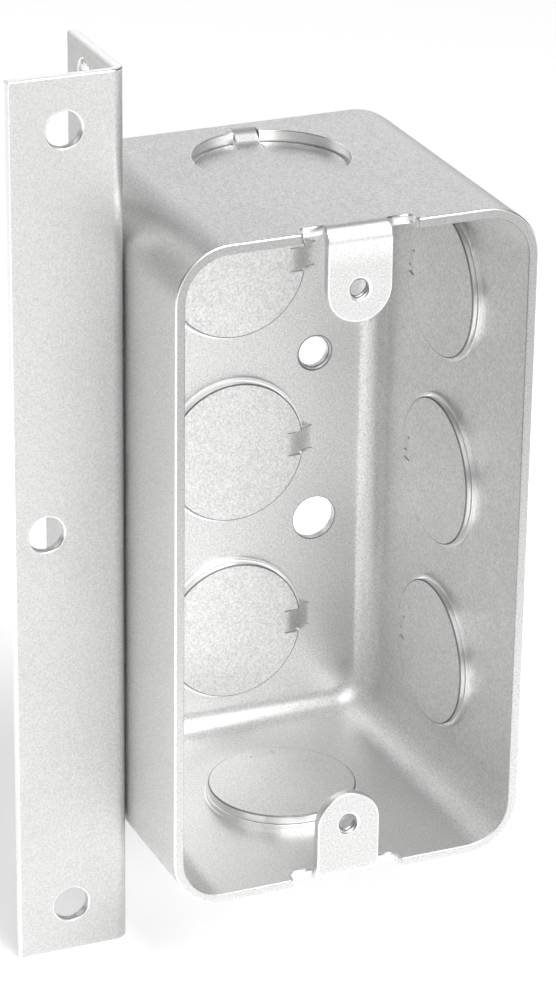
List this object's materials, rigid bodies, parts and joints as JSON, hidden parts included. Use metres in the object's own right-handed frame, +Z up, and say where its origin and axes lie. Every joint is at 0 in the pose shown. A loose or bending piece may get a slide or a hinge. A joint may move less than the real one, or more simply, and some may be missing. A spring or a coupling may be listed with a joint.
{
  "type": "handy box",
  "caption": "Drawn steel outlet box, open at the front, with tapped cover ears, pushed-in knockouts and a folded stud bracket welded along its left wall.",
  "frame": {"origin": "midway between the two cover-ear holes, on the plane of the open rim", "axes": "+X across the box away from the bracket, +Y into the box from the rim, +Z up along the length"},
  "size_m": [0.0721, 0.0508, 0.1355],
  "materials": {
    "box_steel": "pale galvanised, fine grain",
    "bracket_steel": "pale galvanised, fine grain"
  },
  "bodies": {
    "root": {"drawn_box": "box_steel", "stud_bracket": "bracket_steel"}
  },
  "joints": []
}
